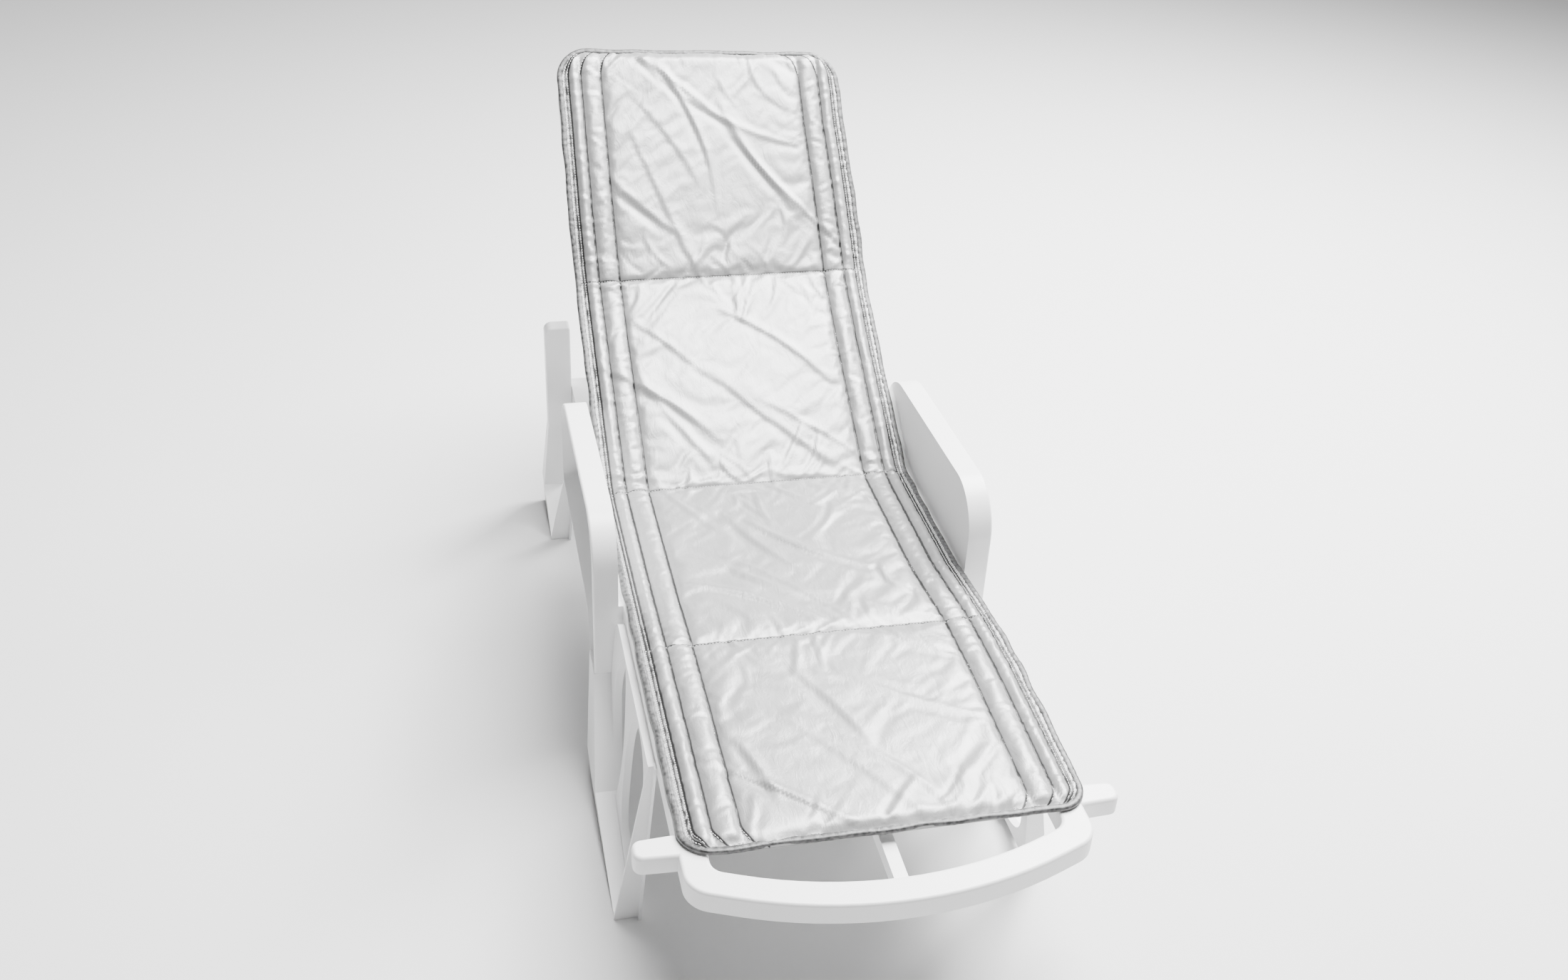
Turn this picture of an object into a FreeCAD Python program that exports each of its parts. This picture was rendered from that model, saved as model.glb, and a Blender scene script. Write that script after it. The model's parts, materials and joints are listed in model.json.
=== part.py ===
import FreeCAD, Part
import math
import os

# Reclining sun lounger in injection-moulded resin, with a quilted pad.
# Millimetres. X runs across the lounger, +Y from the foot end to the head end, +Z up.
# Everything is laid out with Y measured from the front of the bowed foot bar and Z from
# the floor. The last step moves the whole model so that the origin lies on the floor,
# under the middle of its length.

V = FreeCAD.Vector
X_AXIS = V(1, 0, 0)

# ---- seat frame ----
seat_height = 330.0        # floor to the top of the seat frame
seat_length = 1035.0       # front of the foot bar to the recline hinge
tail_past_prop = 76.0      # flat position of the prop bar to the rear end of the rails
frame_half = 290.0         # centre plane to the outer face of a side rail
rail_width = 40.0
rail_depth = 34.0
tail_depth = 44.0          # depth of the lower, rear stretch of the side rails
wall = 4.0                 # wall of the hollow mouldings
edge_round = 5.0           # rounding of the frame's top edges
foot_bar_width = 44.0
bow_radius = 620.0         # outer radius of the bowed foot bar
bow_margin = 60.0          # rail's outer face to the start of the bow, across
foot_corner = 45.0         # outer radius where the foot bar turns into the rails
knee_run = 70.0            # length of the slope between the two rail levels

# ---- lifting ears ----
ear_reach = 60.0           # how far an ear stands out of the rail
ear_width = 42.0
ear_depth = 32.0
ear_start = 131.0          # foot bar front to the ear's front face
ear_round = 14.0

# ---- seat deck ----
spine_width = 20.0
spine_depth = 24.0
slat_depth = 12.0
slat_wall = 3.5
slat_gap = 22.0
seat_slats = 9
back_slats = 7
deck_start = 175.0         # foot bar front to the first slat
deck_to_hinge = 30.0       # last seat slat to the hinge axis
cross_bar_width = 36.0

# ---- recline hinge ----
hinge_drop = 30.0          # hinge axis below the top of the frame
hinge_pin_radius = 5.0
hinge_eye_radius = 14.0
hinge_lug_radius = 18.0
hinge_step = 24.0          # hinge axis to the end of the upper rail stretch
running_clearance = 0.05   # radial, pin in a turning hole
side_clearance = 2.0       # along the pin, between turning and fixed cheeks
pin_head = 3.0
pin_head_radius = 9.0

# ---- backrest ----
back_length = 924.0        # hinge axis to the head end, along the surface
back_rail_width = 28.0
back_depth = 42.0
back_straight = 410.0      # flat stretch next to the hinge
back_bend = 13.0           # degrees by which the head half rises above the lower half
back_bend_radius = 500.0
back_angle = 33.0          # degrees of the lower half above the seat, as set up
back_lift_max = 62.0       # degrees of the lower half in the highest notch
back_deck_start = 48.0
top_bar_width = 52.0
head_corner = 60.0         # outer radius of the backrest's head corners

# ---- prop ----
prop_length = 230.0        # hinge axis to prop pivot, and prop pivot to prop bar
prop_bar_radius = 8.0
prop_arm_thickness = 10.0
prop_eye_radius = 11.0
prop_pin_radius = 5.0
rack_width = 20.0
rack_height = 34.0
rack_clearance = 0.5       # prop bar above the crests of the rack
notch_radius = 9.0
notch_depth = 5.0
notch_angles = (0.0, 16.0, back_angle, 48.0, back_lift_max)

# ---- arms ----
arm_width = 50.0           # rail's outer face to the arm's outer edge, across
arm_inset = 8.0            # rail's outer face to the arm's inner face, across
arm_height = 482.0         # floor to the top of the arm at its front
arm_rear_height = 458.0
arm_before_hinge = 335.0   # arm's front face to the recline hinge
arm_length = 515.0
arm_front_round = 84.0
arm_rear_round = 90.0
arm_skin = 5.0             # thickness of the arm's outer band
arm_drop = 262.0           # floor to the arm's lower edge
post_width = 66.0          # front post of the arm, fore and aft
seam_height = 190.0        # floor to the joint between the arm and the front leg

# ---- legs ----
leg_splay = 16.0           # how far a leg's outer face stands out past the arm
leg_width = 46.0
leg_skin = 5.0
front_toe_reach = 369.0    # tip of the front foot ahead of the arm's front face
front_heel_reach = 65.0
knee_reach = 131.0         # front of the leg's knee ahead of the arm's front face
rear_toe_reach = 180.0     # tip of the rear foot ahead of the rear end of the rails
rear_post_height = 420.0
rear_post_depth = 35.0
rear_post_round = 16.0
brace_thickness = 12.0
strut_thickness = 5.0
strut_rib = 7.0            # how far a strut's rib stands out in front
strut_lap = 14.0           # height over which a strut bears on the rail's face
brace_splay = 5.0          # degrees

# ---- fasteners and pad ----
screw_radius = 3.0
screw_head_radius = 7.0
screw_head = 3.5
screw_shares = (0.12, 0.5, 0.88)    # places of the screws along the arm
pad_margin = 2.0           # rail's outer face to the pad's edge, across
pad_thickness = 16.0
pad_start = 122.0          # foot bar front to the pad's foot edge
pad_to_hinge = 24.0        # end of the seat half before the hinge axis
pad_past_hinge = 42.0      # start of the back half past the hinge axis
pad_overhang = 14.0        # pad past the head end of the backrest
pad_corner = 45.0

# ---- values that follow ----
rail_inner = frame_half - rail_width
hinge_height = seat_height - hinge_drop
tail_top = hinge_height - hinge_eye_radius - side_clearance
step_y = seat_length - hinge_step
tail_length = 2 * prop_length + tail_past_prop    # hinge to the rear end of the rails
frame_end = seat_length + tail_length
bow_half_span = frame_half - bow_margin           # half the width over which the bar bows
back_outer = frame_half - wall - side_clearance
back_inner = back_outer - back_rail_width
side_out = frame_half + arm_width
arm_inner = frame_half + arm_inset
arm_face = arm_inner + wall                       # outer face of the arm's web
shoe_top = seat_height - edge_round               # top of the arm's shoe against the rail
arm_start = seat_length - arm_before_hinge        # foot bar front to the arm's front face
front_toe = arm_start - front_toe_reach
front_heel = arm_start - front_heel_reach
rear_toe = frame_end - rear_toe_reach
pad_half = frame_half - pad_margin
bow_tilt = math.asin(bow_half_span / bow_radius)
HINGE = V(0, seat_length, hinge_height)


# ---- geometry helpers ----

def yz(y, z):
    return V(0, y, z)


def xy(x, y):
    return V(x, y, 0)


def xz(x, z):
    return V(x, 0, z)


def rounded_wire(corners, plane):
    """Closed wire through corners (a, b, radius), each rounded by its radius."""
    points = [plane(a, b) for a, b, _ in corners]
    edges = []
    last = None
    first = None
    for i, corner in enumerate(corners):
        here = points[i]
        back = (points[i - 1] - here).normalize()
        ahead = (points[(i + 1) % len(points)] - here).normalize()
        radius = corner[2]
        if radius > 0:
            half = back.getAngle(ahead) / 2
            reach = radius / math.tan(half)
            start = here + back * reach
            end = here + ahead * reach
            middle_line = (back + ahead).normalize()
            centre = here + middle_line * (radius / math.sin(half))
            middle = centre - middle_line * radius
        else:
            start = end = here
        if last is not None and last.distanceToPoint(start) > 1e-6:
            edges.append(Part.LineSegment(last, start).toShape())
        if radius > 0:
            edges.append(Part.Arc(start, middle, end).toShape())
        first = start if first is None else first
        last = end
    if last.distanceToPoint(first) > 1e-6:
        edges.append(Part.LineSegment(last, first).toShape())
    return Part.Wire(edges)


def prism(corners, plane, low, high):
    """Outline pulled square to its plane, from low to high on the third axis."""
    normal = {yz: V(1, 0, 0), xy: V(0, 0, 1), xz: V(0, 1, 0)}[plane]
    face = Part.Face(rounded_wire(corners, plane))
    face.translate(normal * low)
    return face.extrude(normal * (high - low))


def box(x0, x1, y0, y1, z0, z1):
    return Part.makeBox(x1 - x0, y1 - y0, z1 - z0, V(x0, y0, z0))


def rod(radius, x0, x1, y, z):
    return Part.makeCylinder(radius, x1 - x0, V(x0, y, z), X_AXIS)


def frustum(low, high):
    """Solid between two level rectangles (x0, x1, y0, y1, z)."""
    rings = []
    for x0, x1, y0, y1, z in (low, high):
        corners = [V(x0, y0, z), V(x1, y0, z), V(x1, y1, z), V(x0, y1, z)]
        rings.append(Part.makePolygon(corners + corners[:1]))
    return Part.makeLoft(rings, True, True)


def round_edges(shape, radius, wanted):
    """Rounds the edges whose middle point passes the test."""
    edges = []
    for edge in shape.Edges:
        middle = edge.valueAt((edge.FirstParameter + edge.LastParameter) / 2)
        if wanted(middle):
            edges.append(edge)
    return shape.makeFillet(radius, edges)


def mirrored(shape):
    return shape.mirror(V(0, 0, 0), X_AXIS)


def turned(shape, centre, degrees):
    copy = shape.copy()
    copy.rotate(centre, X_AXIS, degrees)
    return copy


def at_angle(degrees, run, rise):
    """Point at (run, rise) from the hinge, turned up by degrees."""
    angle = math.radians(degrees)
    return V(0, run * math.cos(angle) - rise * math.sin(angle),
             run * math.sin(angle) + rise * math.cos(angle)) + HINGE


# ---- seat frame ----

def frame_outline(inset):
    """Plan of the rails and the bowed foot bar, drawn in by inset on every side but the rear."""
    slope = math.tan(bow_tilt)
    outer_x = frame_half - inset
    inner_x = rail_inner + inset
    apex = bow_radius - bow_radius / math.cos(bow_tilt) + inset / math.cos(bow_tilt)
    inner_apex = apex + (foot_bar_width - 2 * inset) / math.cos(bow_tilt)
    outer_r = bow_radius - inset
    inner_r = bow_radius - foot_bar_width + inset
    corner = foot_corner - inset
    inner_corner = foot_corner - foot_bar_width / 2 + inset
    return [
        (-outer_x, step_y, 0),
        (-outer_x, apex + slope * outer_x, corner),
        (0, apex, outer_r),
        (outer_x, apex + slope * outer_x, corner),
        (outer_x, step_y, 0),
        (inner_x, step_y, 0),
        (inner_x, inner_apex + slope * inner_x, inner_corner),
        (0, inner_apex, inner_r),
        (-inner_x, inner_apex + slope * inner_x, inner_corner),
        (-inner_x, step_y, 0),
    ]


def upper_rails():
    bottom = seat_height - rail_depth
    body = prism(frame_outline(0), xy, bottom, seat_height)
    body = round_edges(body, edge_round,
                       lambda p: p.z > seat_height - 0.1 and p.y < step_y - 0.1)
    hollow = prism(frame_outline(wall), xy, bottom - 1, seat_height - wall)
    return body.cut(hollow).fuse(rail_end_wall())


def rail_end_wall():
    """Web that closes the upper stretch of each rail in front of the hinge."""
    bottom = seat_height - rail_depth
    web = box(rail_inner + wall, frame_half - wall, step_y - wall, step_y,
              bottom, seat_height - wall)
    return web.fuse(mirrored(web))


def tail_rail():
    """Lower stretch of the right rail, with the cheeks that carry the hinge pin."""
    low = tail_top - tail_depth
    bottom = seat_height - rail_depth
    knee = step_y - knee_run
    side = [
        (knee, bottom, 0), (step_y, bottom, 0), (step_y, tail_top, 0),
        (frame_end, tail_top, 0), (frame_end, low, 0), (step_y, low, 12), (knee, bottom, 0),
    ]
    body = prism(side[:-1], yz, rail_inner, frame_half)
    core = [
        (knee - 1, low - 20, 0), (knee - 1, bottom - wall, 0), (step_y - wall, bottom - wall, 0),
        (step_y, tail_top - wall, 0), (frame_end - wall, tail_top - wall, 0),
        (frame_end - wall, low - 20, 0),
    ]
    body = body.cut(prism(core, yz, rail_inner + wall, frame_half - wall))
    for x0 in (rail_inner, frame_half - wall):
        cheek = rod(hinge_lug_radius, x0, x0 + wall, seat_length, hinge_height)
        root = box(x0, x0 + wall, step_y, seat_length + hinge_lug_radius, low + 10, hinge_height)
        body = body.fuse([cheek, root])
    return body.cut(rod(hinge_pin_radius, rail_inner - 1, frame_half + 1,
                        seat_length, hinge_height))


def ear():
    tip = frame_half + ear_reach
    root = frame_half - wall
    end = ear_start + ear_width
    plan = [(root, ear_start, 0), (tip, ear_start + 3, ear_round),
            (tip, end - 3, ear_round), (root, end, 0)]
    bottom = seat_height - ear_depth
    body = prism(plan, xy, bottom, seat_height)
    body = round_edges(body, edge_round + 1,
                       lambda p: p.z > seat_height - 0.1 and p.x > root + 0.1)
    body = round_edges(body, 3.0, lambda p: p.z < bottom + 0.1 and p.x > root + 0.1)
    pocket = box(root, tip - 2 * wall - 6, ear_start + 2 * wall, end - 2 * wall,
                 bottom - 1, seat_height - 2 * wall)
    keep_rail = box(root - 1, frame_half, ear_start, end, bottom - 2, seat_height - wall)
    return body.cut(pocket).cut(keep_rail)


def screw_places():
    """Y and Z of the screws that hold an arm to the two levels of its rail."""
    upper = shoe_top - wall - screw_head_radius - 1
    lower = (arm_drop + arm_skin + tail_top) / 2
    places = [arm_start + share * arm_length for share in screw_shares]
    return [(y, upper if y < step_y else lower) for y in places]


def screw_holes(shape):
    for y, z in screw_places():
        hole = rod(screw_radius, frame_half - 2 * wall, side_out, y, z)
        shape = shape.cut(hole).cut(mirrored(hole))
    return shape


def seat_frame():
    tail = tail_rail()
    one_ear = ear()
    frame = upper_rails().fuse([tail, mirrored(tail), one_ear, mirrored(one_ear)])
    return screw_holes(frame).removeSplitter()


def rear_cross_bar():
    low = tail_top - tail_depth
    body = box(-rail_inner, rail_inner, frame_end - cross_bar_width, frame_end, low, tail_top)
    core = box(-rail_inner + wall, rail_inner - wall, frame_end - cross_bar_width + wall,
               frame_end - wall, low - 1, tail_top - wall)
    return body.cut(core)


def deck_top_of_spine():
    return seat_height - slat_depth


def hinge_cross_bar():
    """Bar between the rails under the last seat slats."""
    top = deck_top_of_spine()
    end = seat_length - deck_to_hinge - 4
    bottom = seat_height - rail_depth
    body = box(-rail_inner, rail_inner, end - cross_bar_width, end, bottom, top)
    core = box(-rail_inner + wall, rail_inner - wall, end - cross_bar_width + wall,
               end - wall, bottom - 1, top - wall)
    return body.cut(core)


def seat_spine():
    """Centre rib from the foot bar to the bar in front of the hinge."""
    start = foot_bar_width
    end = seat_length - deck_to_hinge - 4 - cross_bar_width
    top = deck_top_of_spine()
    rib = box(-spine_width / 2, spine_width / 2, start - 10, end, top - spine_depth, top)
    bar = prism(frame_outline(0), xy, top - spine_depth - 1, top + 1)
    return rib.cut(bar)


def slat(y0, width, half):
    top = seat_height
    body = box(-half, half, y0, y0 + width, top - slat_depth, top)
    body = round_edges(body, 3.0, lambda p: p.z > top - 0.1 and abs(p.x) < half - 0.1)
    core = box(-half + wall, half - wall, y0 + slat_wall, y0 + width - slat_wall,
               top - slat_depth - 1, top - slat_wall)
    return body.cut(core)


def slat_plan(start, end, count):
    """Start and width of each of count equal slats between start and end."""
    width = (end - start - slat_gap * (count - 1)) / count
    return [(start + i * (width + slat_gap), width) for i in range(count)]


# ---- racks and hinge pins ----

def rack_span():
    reach = [2 * prop_length * math.cos(math.radians(a)) for a in notch_angles]
    return seat_length + min(reach) - 26, seat_length + max(reach) + 26


def rack():
    """Notched rack beside the right rail, on a foot that is fixed to the rail."""
    start, end = rack_span()
    crest = hinge_height - prop_bar_radius - rack_clearance
    outer = rail_inner - side_clearance * 4
    inner = outer - rack_width
    body = box(inner, outer, start, end, crest - rack_height, crest)
    for angle in notch_angles:
        y = seat_length + 2 * prop_length * math.cos(math.radians(angle))
        notch = rod(notch_radius, inner - 1, outer + 1, y, crest - notch_depth + notch_radius)
        body = body.cut(notch)
    foot = box(inner, rail_inner, start, end, crest - rack_height - 6, crest - rack_height + 6)
    return body.fuse(foot).removeSplitter()


def hinge_pin():
    head = rod(pin_head_radius, rail_inner - pin_head, rail_inner, seat_length, hinge_height)
    shank = rod(hinge_pin_radius, rail_inner, frame_half, seat_length, hinge_height)
    return head.fuse(shank).removeSplitter()


# ---- arms ----

def arm_outline(inset):
    front = arm_start + inset
    rear = arm_start + arm_length - inset
    post_back = arm_start + post_width - inset
    return [
        (front, seam_height + inset, 0),
        (front, arm_height - inset, arm_front_round - inset),
        (rear, arm_rear_height - inset, arm_rear_round - inset),
        (rear, arm_drop + inset, 12),
        (post_back + 40, arm_drop + inset, 40 + inset),
        (post_back, seam_height + inset, 0),
    ]


def arm():
    """Right arm: a web with a band round it, and a shoe that stands against the rail."""
    body = prism(arm_outline(0), yz, arm_inner, side_out)
    body = round_edges(body, 4.0, lambda p: p.x > side_out - 0.1 and p.z > seam_height + 1)
    body = body.cut(prism(arm_outline(arm_skin), yz, arm_face, side_out + 1))
    rear = arm_start + arm_length
    within = prism(arm_outline(arm_skin / 2), yz, frame_half, side_out)
    shoe = box(frame_half, arm_face, arm_start, rear, arm_drop, shoe_top).common(within)
    recess = prism(arm_outline(arm_skin), yz, frame_half + wall, side_out)
    recess = recess.common(box(frame_half, side_out, arm_start, rear, arm_drop, shoe_top - wall))
    body = body.fuse(shoe).cut(recess)
    return screw_holes(body).removeSplitter()


# ---- legs ----

def hollowed(sections):
    """Moulding through level sections, open towards the lounger's centre plane."""
    skin = leg_skin
    solid = None
    for low, high in zip(sections, sections[1:]):
        piece = frustum(low, high)
        solid = piece if solid is None else solid.fuse(piece)
    top = sections[-1]
    inner = [(x0 - 1, x1 - skin, y0 + skin, y1 - skin, z) for x0, x1, y0, y1, z in sections]
    x0, x1, y0, y1, z = inner[-1]
    inner[-1] = (x0, x1, y0, y1, top[4] - skin)
    for low, high in zip(inner, inner[1:]):
        solid = solid.cut(frustum(low, high))
    return solid


def toe_strut(toe, top_z, leg):
    """Board from the toe up to the rail's outer face, wide at the floor, with one rib."""
    floor_out = side_out + leg_splay
    floor_in = floor_out - leg_width + leg_skin
    back = toe + strut_thickness
    board = frustum((floor_in, floor_out, toe, back, 0),
                    (frame_half, frame_half + brace_thickness, toe, back, top_z))
    rib = frustum((floor_in, floor_in + wall, toe - strut_rib, back, 0),
                  (frame_half, frame_half + wall, toe - strut_rib, back, top_z))
    strut = board.fuse(rib).cut(leg)
    return max(strut.Solids, key=lambda solid: solid.Volume)


def toe_cut(toe, back):
    """Slanted cut that brings the toe to a point at its outer edge."""
    outer = side_out + leg_splay - 1
    inner = outer - leg_width - 20
    corners = [(inner, toe - 20, 0), (outer + 0.5, toe - 20, 0), (outer - 2, toe, 0),
               (inner + 14, back, 0), (inner, back, 0)]
    return prism(corners, xy, -1, seam_height)


def front_leg():
    x_top = frame_half + wall
    floor_out = side_out + leg_splay
    sections = [
        (floor_out - leg_width - 1, floor_out - 1, front_toe, front_heel, 0),
        (floor_out - leg_width + 1, floor_out + 1, arm_start - knee_reach, front_heel + 50, 45),
        (x_top, side_out + 1, arm_start - 1, arm_start + post_width + 1, seam_height),
    ]
    return hollowed(sections).cut(toe_cut(front_toe, front_toe + 120)).removeSplitter()


def smooth_window(points, low, high):
    """Rounded window through a few (y, z) points, pulled along X."""
    curve = Part.BSplineCurve()
    curve.interpolate([V(low, y, z) for y, z in points], PeriodicFlag=True)
    face = Part.Face(Part.Wire([curve.toShape()]))
    return face.extrude(V(high - low, 0, 0))


def leg_brace(leg):
    """Plate with two curved windows between the rail and the front leg."""
    top = seat_height - rail_depth + 10
    strut = (front_toe + arm_start) / 2 - 3
    outline = [
        (front_toe + strut_thickness, 14, 0), (front_toe + strut_thickness, top, 0),
        (arm_start - 1, top, 30), (arm_start - 1, seam_height, 0),
        (arm_start - 102, 40, 60), (front_heel - 60, 14, 0),
    ]
    plate = prism(outline, yz, frame_half, frame_half + brace_thickness)
    rear_window = [
        (strut + 90, top - 14), (strut + 132, top - 78), (strut + 118, 120),
        (strut + 52, 40), (strut + 22, 110), (strut + 28, 220),
    ]
    front_window = [
        (strut - 60, top - 18), (strut - 22, top - 60), (strut - 8, 130),
        (strut - 40, 40), (front_toe + 34, 52), (front_toe + 22, 150), (front_toe + 40, top - 26),
    ]
    for window in (rear_window, front_window):
        plate = plate.cut(smooth_window(window, frame_half - 1, frame_half + brace_thickness + 1))
    plate.rotate(V(frame_half, 0, top), V(0, 1, 0), -brace_splay)
    rail = box(rail_inner, frame_half, 0, frame_end, 0, seat_height)
    return plate.cut(rail).cut(leg)


def rear_post():
    """Upright board outside the rail's rear end, with its rounded head above the seat."""
    outer = side_out + 2
    corners = [(frame_half, seam_height, 0), (frame_half, rear_post_height, 6),
               (outer, rear_post_height, rear_post_round), (outer, seam_height, 0)]
    body = prism(corners, xz, frame_end - rear_post_depth, frame_end)
    body = round_edges(body, 4.0, lambda p: p.z > seam_height + 1
                       and abs(p.y - frame_end + rear_post_depth) < 0.1)
    core = [(frame_half + wall, seam_height + wall, 0),
            (frame_half + wall, rear_post_height - wall, 3),
            (outer - wall, rear_post_height - wall, rear_post_round - wall),
            (outer - wall, seam_height + wall, 0)]
    return body.cut(prism(core, xz, frame_end - rear_post_depth + arm_skin, frame_end + 1))


def rear_foot():
    outer = side_out + 2
    front = frame_end - rear_post_depth
    floor_out = side_out + leg_splay
    sections = [
        (floor_out - leg_width - 1, floor_out - 1, rear_toe, frame_end - 24, 0),
        (floor_out - leg_width + 1, floor_out + 1, front - 22, frame_end - 4, 60),
        (frame_half + wall, outer, front, frame_end, seam_height),
    ]
    return hollowed(sections).cut(toe_cut(rear_toe, rear_toe + 80)).removeSplitter()


def arm_screws():
    """Six equal screws, three through each arm into its rail."""
    screws = []
    face = frame_half + wall
    for y, z in screw_places():
        head = rod(screw_head_radius, face, face + screw_head, y, z)
        shank = rod(screw_radius, frame_half - wall - 2, face, y, z)
        screw = head.fuse(shank).removeSplitter()
        screws += [screw, mirrored(screw)]
    return Part.makeCompound(screws)


# ---- backrest, drawn lying flat ----

def back_line(drop, start, end):
    """Edges of the backrest's curved side line, drop below its surface, from start to end."""
    top = hinge_drop
    bend = math.radians(back_bend)
    centre = V(0, seat_length + back_straight, hinge_height + top + back_bend_radius)
    radius = back_bend_radius + drop
    arc_length = back_bend_radius * bend

    def point(run):
        if run <= back_straight:
            return V(0, seat_length + run, hinge_height + top - drop)
        turn = min((run - back_straight) / back_bend_radius, bend)
        p = centre + V(0, math.sin(turn), -math.cos(turn)) * radius
        rest = max(run - back_straight - arc_length, 0)
        return p + V(0, math.cos(bend), math.sin(bend)) * rest

    marks = [start]
    if start < back_straight < end:
        marks.append(back_straight)
    if start < back_straight + arc_length < end:
        marks.append(back_straight + arc_length)
    marks.append(end)
    edges = []
    for a, b in zip(marks, marks[1:]):
        middle = (a + b) / 2
        if back_straight < middle < back_straight + arc_length:
            edges.append(Part.Arc(point(a), point(middle), point(b)).toShape())
        else:
            edges.append(Part.LineSegment(point(a), point(b)).toShape())
    return edges, point(start), point(end)


def back_strip(top_drop, bottom_drop, start, end, x0, x1):
    """Solid that follows the backrest between two depths."""
    upper, upper_start, upper_end = back_line(top_drop, start, end)
    lower, lower_start, lower_end = back_line(bottom_drop, start, end)
    closing = [Part.LineSegment(upper_end, lower_end).toShape(),
               Part.LineSegment(lower_start, upper_start).toShape()]
    wire = Part.Wire(Part.__sortEdges__(upper + lower + closing))
    face = Part.Face(wire)
    face.translate(V(x0, 0, 0))
    return face.extrude(V(x1 - x0, 0, 0))


def head_corner_waste(inset):
    """What lies outside the rounded right head corner, drawn in by inset."""
    _, _, end = back_line(0, hinge_drop, back_length)
    x = back_outer - head_corner
    y = end.y - head_corner
    low = end.z - back_depth - head_corner
    high = end.z + head_corner
    block = box(x, back_outer + wall, y, end.y + wall, low, high)
    kept = Part.makeCylinder(head_corner - inset, high - low, V(x, y, low))
    return turned(block.cut(kept), end, back_bend)


def back_rail():
    """Right side rail of the backrest, a channel open behind, with the hinge eye."""
    start = hinge_drop
    body = back_strip(0, back_depth, start, back_length, back_inner, back_outer)
    body = round_edges(body, 4.0, lambda p: back_edge(p, back_outer) or back_edge(p, back_inner))
    core = back_strip(wall, back_depth + 1, start + wall, back_length - wall,
                      back_inner + wall, back_outer - wall)
    body = body.cut(head_corner_waste(0))
    core = core.cut(head_corner_waste(wall))
    eye = rod(hinge_eye_radius, back_inner, back_outer, seat_length, hinge_height)
    low = hinge_height + hinge_drop - back_depth
    neck = [(seat_length, hinge_height + hinge_eye_radius, 0),
            (seat_length + start, seat_height - 4, 0),
            (seat_length + start + wall, seat_height - 4, 0),
            (seat_length + start + wall, low, 0), (seat_length, hinge_height - hinge_eye_radius, 0)]
    neck_solid = prism(neck, yz, back_inner, back_outer)
    body = body.cut(core).fuse([eye, neck_solid])
    bore = rod(hinge_pin_radius + running_clearance, back_inner - 1, back_outer + 1,
               seat_length, hinge_height)
    body = body.cut(bore)
    pivot = rod(prop_pin_radius, back_inner - 1, back_inner + wall + 8,
                seat_length + prop_length, hinge_height)
    boss = rod(prop_pin_radius + 4, back_inner, back_inner + wall + 4,
               seat_length + prop_length, hinge_height)
    return body.fuse(boss).cut(pivot).removeSplitter()


def back_edge(p, x):
    """True on the long upper edges of a backrest rail."""
    run = p.y - seat_length
    if abs(p.x - x) > 0.1 or run < hinge_drop + 1:
        return False
    return surface_drop(p) < 0.2


def surface_drop(p):
    """Depth of a point below the backrest's surface."""
    bend = math.radians(back_bend)
    run = p.y - seat_length
    centre = V(0, seat_length + back_straight, seat_height + back_bend_radius)
    arm_vector = V(0, p.y, p.z) - centre
    turn = math.atan2(arm_vector.y, -arm_vector.z)
    if run <= back_straight:
        return seat_height - p.z
    if turn <= bend:
        return arm_vector.Length - back_bend_radius
    return -arm_vector.dot(V(0, -math.sin(bend), math.cos(bend))) - back_bend_radius


def back_slat(start, width):
    half = back_inner
    body = back_strip(0, slat_depth, start, start + width, -half, half)
    core = back_strip(slat_wall, slat_depth + 1, start + slat_wall, start + width - slat_wall,
                      -half + wall, half - wall)
    return body.cut(core)


def back_cross(start, width, depth):
    half = back_inner
    body = back_strip(0, depth, start, start + width, -half, half)
    core = back_strip(wall, depth + 1, start + wall, start + width - wall,
                      -half + wall, half - wall)
    return body.cut(core)


def back_top_bar():
    """Bar across the head end, rounded off at both corners with the rails."""
    start = back_length - top_bar_width
    waste = head_corner_waste(0)
    inner_waste = head_corner_waste(wall)
    body = back_strip(0, back_depth, start, back_length, -back_inner, back_inner)
    core = back_strip(wall, back_depth + 1, start + wall, back_length - wall,
                      -back_inner + wall, back_inner - wall)
    core = core.cut(inner_waste).cut(mirrored(inner_waste))
    return body.cut(waste).cut(mirrored(waste)).cut(core)


# ---- prop, drawn lying flat inside the backrest ----

def prop_arm():
    """Right arm of the prop, from its pivot to the bar."""
    outer = back_inner - side_clearance
    inner = outer - prop_arm_thickness
    near = seat_length + prop_length
    far = near + prop_length
    half = prop_bar_radius
    flat = box(inner, outer, near, far, hinge_height - half, hinge_height + half)
    ends = [rod(prop_eye_radius, inner, outer, y, hinge_height) for y in (near, far)]
    body = flat.fuse(ends).removeSplitter()
    pivot = rod(prop_pin_radius + running_clearance, inner - 1, outer + 1, near, hinge_height)
    socket = rod(prop_bar_radius, inner - 1, outer + 1, far, hinge_height)
    return body.cut(pivot).cut(socket)


def prop_bar():
    half = back_inner - side_clearance
    return rod(prop_bar_radius, -half, half, seat_length + 2 * prop_length, hinge_height)


def prop_pin():
    """Headed pin fixed in the backrest rail, on which the prop arm turns."""
    y = seat_length + prop_length
    arm_inner = back_inner - side_clearance - prop_arm_thickness
    head = rod(prop_pin_radius + 3, arm_inner - pin_head - 0.5, arm_inner - 0.5, y, hinge_height)
    shank = rod(prop_pin_radius, arm_inner - 0.5, back_inner + wall + 4, y, hinge_height)
    return head.fuse(shank).removeSplitter()


# ---- pad ----

def seat_pad():
    end = seat_length - pad_to_hinge
    plan = [(-pad_half, pad_start, pad_corner), (pad_half, pad_start, pad_corner),
            (pad_half, end, 0), (-pad_half, end, 0)]
    return prism(plan, xy, seat_height, seat_height + pad_thickness)


def back_pad():
    return back_strip(-pad_thickness, 0, pad_past_hinge, back_length + pad_overhang,
                      -pad_half, pad_half)


# ---- assembly ----

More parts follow.
